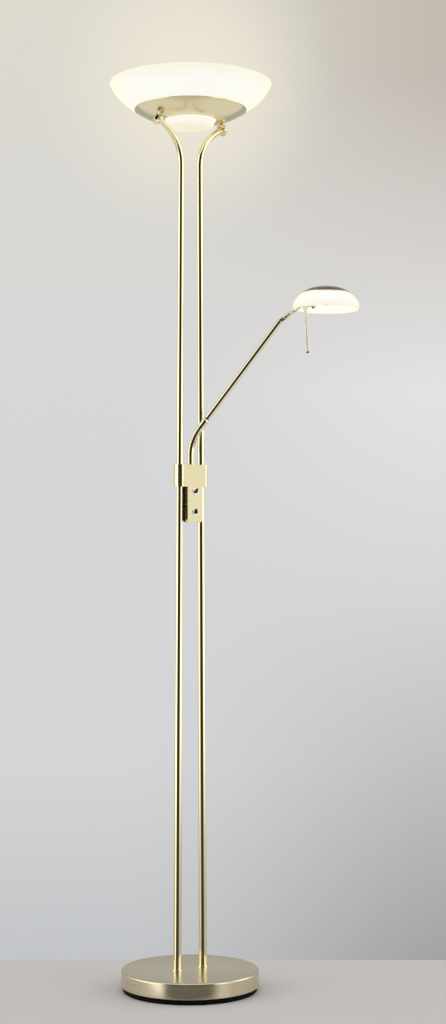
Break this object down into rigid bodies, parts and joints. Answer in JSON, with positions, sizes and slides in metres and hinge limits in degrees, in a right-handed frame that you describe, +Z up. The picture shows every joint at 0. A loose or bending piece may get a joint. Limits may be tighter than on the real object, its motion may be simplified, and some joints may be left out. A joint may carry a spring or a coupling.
{
  "type": "torchiere floor lamp with reading light",
  "caption": "Two-pole brass uplighter floor lamp with a wide frosted glass bowl, a weighted round foot, two rotary dimmers and a jointed reading arm.",
  "frame": {"origin": "centre of the foot disc's underside, on the floor", "axes": "+Z up along the lamp; the two poles stand on the X axis, the dimmer knobs face -Y, the cable inlet is on +Y"},
  "size_m": [0.4408, 0.3952, 1.8022],
  "materials": {
    "satin_brass": "satin, spun",
    "polished_brass": "polished",
    "arm_brass": "polished",
    "black_plastic": "satin",
    "black_knob": "gloss",
    "rubber": "matte",
    "weight_iron": "raw casting",
    "zinc_steel": "zinc plated",
    "black_screw": "blackened",
    "opal_glass": "frosted",
    "lens_glass": "frosted",
    "shade_glass": "frosted",
    "lamp_quartz": "clear quartz",
    "ceramic": "unglazed",
    "bright_ring": "bright",
    "cap_brass": "darkened satin",
    "white_enamel": "satin enamel",
    "handle_brass": "satin"
  },
  "bodies": {
    "stand": {"base_cover": "satin_brass", "base_weight": "weight_iron", "foot_disc": "black_plastic", "pole_nuts": "zinc_steel", "pole_collars": "polished_brass", "cable_gland": "black_plastic", "left_lower_pole": "polished_brass", "right_lower_pole": "polished_brass", "left_upper_pole": "polished_brass", "right_upper_pole": "polished_brass", "pole_joiners": "zinc_steel", "flange_pair": "polished_brass", "flange_caps": "black_plastic", "head_studs": "zinc_steel", "stud_nuts": "zinc_steel", "head_dish": "satin_brass", "lower_lens": "lens_glass", "lens_seat_ring": "rubber", "carrier_plate": "zinc_steel", "glass_bowl": "opal_glass", "glass_gasket": "rubber", "lamp_bracket": "zinc_steel", "lamp_holders": "ceramic", "holder_screws": "zinc_steel", "halogen_lamp": "lamp_quartz", "clamp_body": "satin_brass", "clamp_back": "satin_brass", "clamp_screws": "black_screw", "box_cover": "black_plastic", "cover_screws": "black_screw", "dimmer_modules": "black_plastic", "dimmer_bezels": "bright_ring", "swivel_bush": "polished_brass"},
    "lower_arm": {"lower_arm": "arm_brass", "elbow_clevis": "arm_brass", "arm_retainer": "zinc_steel", "elbow_screw": "black_screw"},
    "upper_arm": {"elbow_tongue": "arm_brass", "upper_arm": "arm_brass"},
    "head_swivel": {"arm_end_eye": "arm_brass"},
    "reading_head": {"head_yoke": "arm_brass", "yoke_screw": "black_screw", "head_plate": "white_enamel", "head_post": "zinc_steel", "lamp_socket": "ceramic", "capsule_lamp": "lamp_quartz", "socket_screw": "zinc_steel", "plate_screw": "black_screw", "reading_shade": "shade_glass", "shade_cap": "cap_brass", "shade_nut": "zinc_steel", "handle_rod": "handle_brass", "handle_grip": "handle_brass", "handle_tip": "black_plastic"},
    "knob_upper": {"upper_knob": "black_knob"},
    "knob_lower": {"lower_knob": "black_knob"}
  },
  "joints": [
    {"name": "arm_swivel", "type": "hinge", "parent": "stand", "child": "lower_arm", "pos_m": [0, -0.001, 1.04], "axis": [0, 0, 1], "range_deg": [-104, 6]},
    {"name": "elbow_tilt", "type": "hinge", "parent": "lower_arm", "child": "upper_arm", "pos_m": [0.02249, -0.01857, 1.12397], "axis": [-0.6157, -0.788, 0], "range_deg": [-63, 30]},
    {"name": "head_turn", "type": "hinge", "parent": "upper_arm", "child": "head_swivel", "pos_m": [0.13966, -0.11011, 1.32346], "axis": [0.4709, -0.3679, 0.8018], "range_deg": [-150, 150]},
    {"name": "head_tilt", "type": "hinge", "parent": "head_swivel", "child": "reading_head", "pos_m": [0.14893, -0.11736, 1.3322], "axis": [-0.6157, -0.788, 0], "range_deg": [-60, 60]},
    {"name": "dimmer_upper", "type": "hinge", "parent": "stand", "child": "knob_upper", "pos_m": [0.0024, -0.014, 0.9843], "axis": [0, -1, 0], "range_deg": [-110, 160]},
    {"name": "dimmer_lower", "type": "hinge", "parent": "stand", "child": "knob_lower", "pos_m": [0.0024, -0.014, 0.9436], "axis": [0, -1, 0], "range_deg": [-135, 135]}
  ]
}
